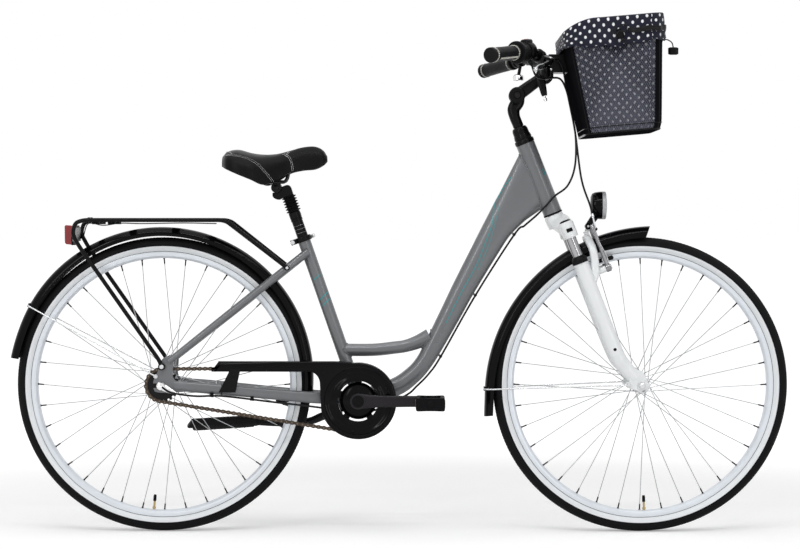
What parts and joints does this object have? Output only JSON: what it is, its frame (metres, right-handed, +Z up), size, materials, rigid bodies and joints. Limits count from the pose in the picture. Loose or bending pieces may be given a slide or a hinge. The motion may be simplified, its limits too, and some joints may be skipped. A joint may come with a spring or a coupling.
{
  "type": "city bike",
  "caption": "Step-through city bicycle with mudguards, rear rack, lights, kickstand, sprung fork and seat post, and a mesh front basket with a dotted cloth liner.",
  "frame": {"origin": "on the ground below the middle of the bicycle, level with the bottoms of both tyres", "axes": "+X forward, +Y to the bicycle's left, +Z up; the chain and its guard are at -Y"},
  "size_m": [1.846, 0.6232, 1.221],
  "materials": {
    "frame_grey": "satin grey paint",
    "fork_white": "gloss white paint",
    "black_gloss": "gloss black plastic",
    "black_satin": "satin black plastic and thin black-coated alloy tube",
    "black_steel": "black oxide steel",
    "crank_grey": "dark anodised aluminium",
    "silver": "polished aluminium",
    "chrome": "chromed",
    "rim_silver": "satin anodised aluminium",
    "tyre_black": "matt black rubber with a pale side wall band",
    "rubber": "matt black rubber",
    "saddle_black": "matt black artificial leather",
    "grip_black": "matt black grip rubber with pale stitching",
    "chain_brown": "brown coated steel",
    "light_red": "clear red plastic",
    "cloth_navy": "navy cotton with white dots",
    "cable_black": "black cable housing and cord"
  },
  "bodies": {
    "frame": {"main_frame": "frame_grey", "headset_upper": "black_satin", "bottom_bracket": "black_steel", "chain": "chain_brown", "chain_guard": "black_gloss", "rear_mudguard": "black_satin", "rear_mudguard_stay": "silver", "rear_rack": "black_satin", "tail_light": "light_red", "rear_axle": "silver", "coaster_arm": "silver", "seat_clamp": "black_satin", "shift_cable": "cable_black"},
    "kickstand": {"kickstand": "black_steel"},
    "seat_clamp_lever": {"seat_clamp_lever": "chrome"},
    "rack_clip": {"rack_clip": "chrome"},
    "seatpost": {"seatpost_tube": "black_satin", "seatpost_boot": "rubber"},
    "seatpost_plunger": {"seatpost_plunger": "black_satin"},
    "saddle": {"saddle_clamp": "black_steel", "saddle_base": "black_satin", "saddle_cover": "saddle_black"},
    "crankset": {"crank_spindle": "silver", "crank_right": "crank_grey", "crank_left": "crank_grey", "chainring": "black_steel", "crank_disc": "black_gloss"},
    "pedal_right": {"pedal_right": "black_satin"},
    "pedal_left": {"pedal_left": "black_satin"},
    "rear_driver": {"rear_sprocket": "black_steel"},
    "rear_wheel": {"rear_hub": "silver", "rear_rim": "rim_silver", "rear_tyre": "tyre_black"},
    "steering": {"fork_crown": "fork_white", "stem_quill": "black_satin"},
    "handlebar": {"stem_extension": "black_satin", "handlebar_bar": "black_satin", "grip_right": "grip_black", "grip_left": "grip_black", "shifter_housing": "black_satin", "brake_perch": "black_satin", "bell": "chrome", "basket_adapter": "black_satin", "brake_cable": "cable_black"},
    "shifter_twist": {"shifter_twist": "black_satin"},
    "brake_lever": {"brake_lever": "silver"},
    "bell_lever": {"bell_lever": "black_satin"},
    "basket": {"basket": "black_satin", "basket_liner": "cloth_navy", "drawcord": "cable_black"},
    "fork_lowers": {"fork_lowers": "fork_white", "front_mudguard": "black_satin", "front_mudguard_stay": "silver", "front_axle": "silver"},
    "headlight": {"headlight": "black_gloss"},
    "brake_arm_right": {"brake_arm_right": "black_steel"},
    "brake_arm_left": {"brake_arm_left": "black_steel"},
    "front_wheel": {"front_hub": "silver", "front_rim": "rim_silver", "front_tyre": "tyre_black"}
  },
  "joints": [
    {"name": "steering", "type": "hinge", "parent": "frame", "child": "steering", "pos_m": [0.33094, 0, 0.83843], "axis": [-0.3681, 0, 0.9298], "range_deg": [-60, 60], "deforming": ["shift_cable"]},
    {"name": "fork_suspension", "type": "slide", "parent": "steering", "child": "fork_lowers", "axis": [-0.3681, 0, 0.9298], "range_m": [0, 0.018], "stiffness_N_per_m": 9000, "springref_m": -0.012, "deforming": ["brake_cable"]},
    {"name": "front_wheel_spin", "type": "hinge", "parent": "fork_lowers", "child": "front_wheel", "pos_m": [0.571, 0, 0.35], "axis": [0, 1, 0], "continuous": true},
    {"name": "rear_wheel_spin", "type": "hinge", "parent": "frame", "child": "rear_wheel", "pos_m": [-0.562, 0, 0.35], "axis": [0, 1, 0], "continuous": true},
    {"name": "crank_spin", "type": "hinge", "parent": "frame", "child": "crankset", "pos_m": [-0.098, 0, 0.314], "axis": [0, 1, 0], "continuous": true},
    {"name": "pedal_right_spin", "type": "hinge", "parent": "crankset", "child": "pedal_right", "pos_m": [0.072, -0.139, 0.314], "axis": [0, 1, 0], "continuous": true},
    {"name": "pedal_left_spin", "type": "hinge", "parent": "crankset", "child": "pedal_left", "pos_m": [-0.268, 0.139, 0.314], "axis": [0, 1, 0], "continuous": true},
    {"name": "sprocket_spin", "type": "hinge", "parent": "frame", "child": "rear_driver", "pos_m": [-0.562, 0, 0.35], "axis": [0, 1, 0], "continuous": true},
    {"name": "kickstand_fold", "type": "hinge", "parent": "frame", "child": "kickstand", "pos_m": [-0.15, 0.043, 0.2795], "axis": [0, -0.7179, -0.6962], "range_deg": [0, 93]},
    {"name": "seat_height", "type": "slide", "parent": "frame", "child": "seatpost", "axis": [-0.3305, 0, 0.9438], "range_m": [-0.03, 0.1]},
    {"name": "seat_suspension", "type": "slide", "parent": "seatpost", "child": "seatpost_plunger", "axis": [-0.3305, 0, 0.9438], "range_m": [-0.02, 0], "stiffness_N_per_m": 9000, "springref_m": 0.012, "deforming": ["seatpost_boot"]},
    {"name": "saddle_tilt", "type": "hinge", "parent": "seatpost_plunger", "child": "saddle", "pos_m": [-0.29352, 0, 0.81751], "axis": [0, 1, 0], "range_deg": [-12, 12]},
    {"name": "seat_clamp_release", "type": "hinge", "parent": "frame", "child": "seat_clamp_lever", "pos_m": [-0.25467, 0.0243, 0.68691], "axis": [-0.3305, 0, 0.9438], "range_deg": [0, 90]},
    {"name": "rack_clip_lift", "type": "hinge", "parent": "frame", "child": "rack_clip", "pos_m": [-0.738, 0, 0.7427], "axis": [0, -1, 0], "range_deg": [0, 70], "stiffness_Nm_per_rad": 1.2, "springref_deg": -20.05},
    {"name": "stem_angle", "type": "hinge", "parent": "steering", "child": "handlebar", "pos_m": [0.27793, 0, 1.03642], "axis": [0, 1, 0], "range_deg": [-15, 15], "deforming": ["shift_cable", "brake_cable"]},
    {"name": "shifter_turn", "type": "hinge", "parent": "handlebar", "child": "shifter_twist", "pos_m": [0.28777, -0.17417, 1.12876], "axis": [-0.5371, -0.8367, -0.1074], "range_deg": [0, 60]},
    {"name": "brake_lever_pull", "type": "hinge", "parent": "handlebar", "child": "brake_lever", "pos_m": [0.34883, -0.13163, 1.10952], "axis": [-0.2954, 0.3058, -0.9051], "range_deg": [0, 18], "stiffness_Nm_per_rad": 1.2, "springref_deg": -17.19},
    {"name": "brake_arm_right_turn", "type": "hinge", "parent": "fork_lowers", "child": "brake_arm_right", "pos_m": [0.49215, -0.042, 0.62821], "axis": [-0.9298, 0, -0.3681], "range_deg": [0, 4], "deforming": ["brake_cable"]},
    {"name": "brake_arm_left_turn", "type": "hinge", "parent": "fork_lowers", "child": "brake_arm_left", "pos_m": [0.49215, 0.042, 0.62821], "axis": [0.9298, 0, 0.3681], "range_deg": [0, 4]},
    {"name": "bell_lever_flick", "type": "hinge", "parent": "handlebar", "child": "bell_lever", "pos_m": [0.31083, 0.16706, 1.12137], "axis": [0, 0, 1], "range_deg": [0, 25], "stiffness_Nm_per_rad": 0.05, "springref_deg": -17.19},
    {"name": "basket_lift_off", "type": "slide", "parent": "handlebar", "child": "basket", "axis": [-0.2216, 0, 0.9751], "range_m": [0, 0.05]},
    {"name": "headlight_tilt", "type": "hinge", "parent": "fork_lowers", "child": "headlight", "pos_m": [0.44703, 0, 0.72587], "axis": [0, 1, 0], "range_deg": [-10, 10]}
  ],
  "couplings": [
    {"joint": "sprocket_spin", "follows": "crank_spin", "ratio": 2},
    {"joint": "brake_arm_right_turn", "follows": "brake_lever_pull", "ratio": 0.222},
    {"joint": "brake_arm_left_turn", "follows": "brake_lever_pull", "ratio": 0.222}
  ]
}
